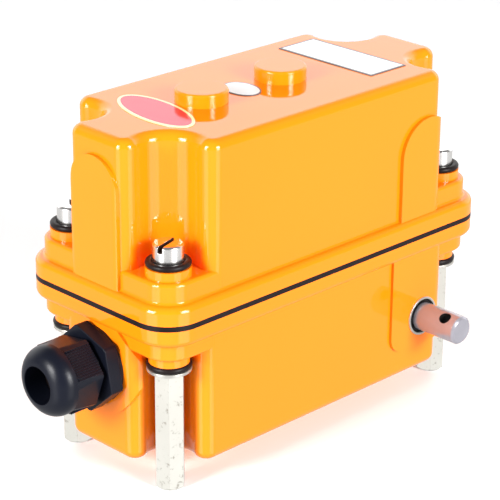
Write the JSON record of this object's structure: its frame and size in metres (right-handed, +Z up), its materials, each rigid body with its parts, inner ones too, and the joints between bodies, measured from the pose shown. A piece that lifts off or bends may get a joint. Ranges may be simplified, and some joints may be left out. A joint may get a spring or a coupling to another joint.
{
  "type": "geared rotary limit switch",
  "caption": "Geared rotary limit switch: gloss orange cast box on hexagonal pillars, with a cable gland, a cross-drilled drive shaft and a worm-driven camshaft over lever switches.",
  "frame": {"origin": "centre of the four pillar feet, on the surface the feet stand on", "axes": "+Z up out of the feet; +X along the box, away from the cable gland; the drive shaft comes out of the -Y side"},
  "size_m": [0.1754, 0.087, 0.1215],
  "materials": {
    "enamel": "gloss orange enamel on cast metal",
    "rubber": "moulded black rubber",
    "nylon": "satin black nylon",
    "bright_steel": "turned, bright plated steel",
    "zinc": "zinc plated steel",
    "bronze": "sintered bronze and brass",
    "case": "black moulded switch case",
    "acetal": "cream acetal"
  },
  "bodies": {
    "housing": {"base_housing": "enamel", "cover": "enamel", "cover_gasket": "rubber", "cover_screws": "bright_steel", "screw_o_rings": "rubber", "pillar_o_rings": "rubber", "pillar_washers": "zinc", "hex_pillars": "zinc", "gland_body": "nylon", "gland_washer": "rubber", "gland_locknut": "nylon", "seal_case": "bright_steel", "seal_lip": "rubber", "front_bush": "bronze", "rear_bush": "bronze", "camshaft_bushes": "bronze", "mechanism_frame": "zinc", "frame_screws": "zinc", "switch_body_1": "case", "switch_body_2": "case", "switch_body_3": "case", "switch_body_4": "case", "lever_pins": "bright_steel", "switch_terminals": "bronze", "switch_rods": "zinc", "rod_nuts": "zinc", "switch_spacers": "zinc", "earth_screw": "bronze", "earth_washer": "bronze"},
    "drive_shaft": {"input_shaft": "bright_steel", "shaft_circlip": "bright_steel", "worm": "bright_steel", "worm_pin": "zinc"},
    "camshaft": {"camshaft": "bright_steel", "camshaft_circlips": "bright_steel", "worm_wheel": "bronze", "wheel_pin": "zinc", "cam_1": "acetal", "cam_2": "acetal", "cam_3": "acetal", "cam_4": "acetal", "cam_set_screws": "zinc"},
    "gland_seal": {"gland_seal": "rubber"},
    "gland_nut": {"gland_dome_nut": "nylon"},
    "lever_1": {"switch_lever_1": "bright_steel", "lever_button_1": "acetal"},
    "lever_2": {"switch_lever_2": "bright_steel", "lever_button_2": "acetal"},
    "lever_3": {"switch_lever_3": "bright_steel", "lever_button_3": "acetal"},
    "lever_4": {"switch_lever_4": "bright_steel", "lever_button_4": "acetal"}
  },
  "joints": [
    {"name": "drive_shaft_turn", "type": "hinge", "parent": "housing", "child": "drive_shaft", "pos_m": [0.0464, 0, 0.029], "axis": [0, 1, 0], "continuous": true},
    {"name": "camshaft_turn", "type": "hinge", "parent": "housing", "child": "camshaft", "pos_m": [0, 0, 0.062], "axis": [1, 0, 0], "continuous": true},
    {"name": "gland_seal_slide", "type": "slide", "parent": "housing", "child": "gland_seal", "axis": [-1, 0, 0], "range_m": [0, 0.003]},
    {"name": "gland_nut_turn", "type": "hinge", "parent": "gland_seal", "child": "gland_nut", "pos_m": [-0.09, 0, 0.0392], "axis": [-1, 0, 0], "range_deg": [0, 720]},
    {"name": "lever_1_swing", "type": "hinge", "parent": "housing", "child": "lever_1", "pos_m": [-0.035, 0.011, 0.07849], "axis": [-1, 0, 0], "range_deg": [0, 7], "stiffness_Nm_per_rad": 0.02, "springref_deg": -2.86},
    {"name": "lever_2_swing", "type": "hinge", "parent": "housing", "child": "lever_2", "pos_m": [-0.018, 0.011, 0.07849], "axis": [-1, 0, 0], "range_deg": [0, 7], "stiffness_Nm_per_rad": 0.02, "springref_deg": -2.86},
    {"name": "lever_3_swing", "type": "hinge", "parent": "housing", "child": "lever_3", "pos_m": [-0.001, 0.011, 0.07849], "axis": [-1, 0, 0], "range_deg": [0, 7], "stiffness_Nm_per_rad": 0.02, "springref_deg": -2.86},
    {"name": "lever_4_swing", "type": "hinge", "parent": "housing", "child": "lever_4", "pos_m": [0.016, 0.011, 0.07849], "axis": [-1, 0, 0], "range_deg": [0, 7], "stiffness_Nm_per_rad": 0.02, "springref_deg": -2.86}
  ],
  "couplings": [
    {"joint": "camshaft_turn", "follows": "drive_shaft_turn", "ratio": -0.02},
    {"joint": "gland_seal_slide", "follows": "gland_nut_turn", "m_per_rad": 0.00023873}
  ]
}
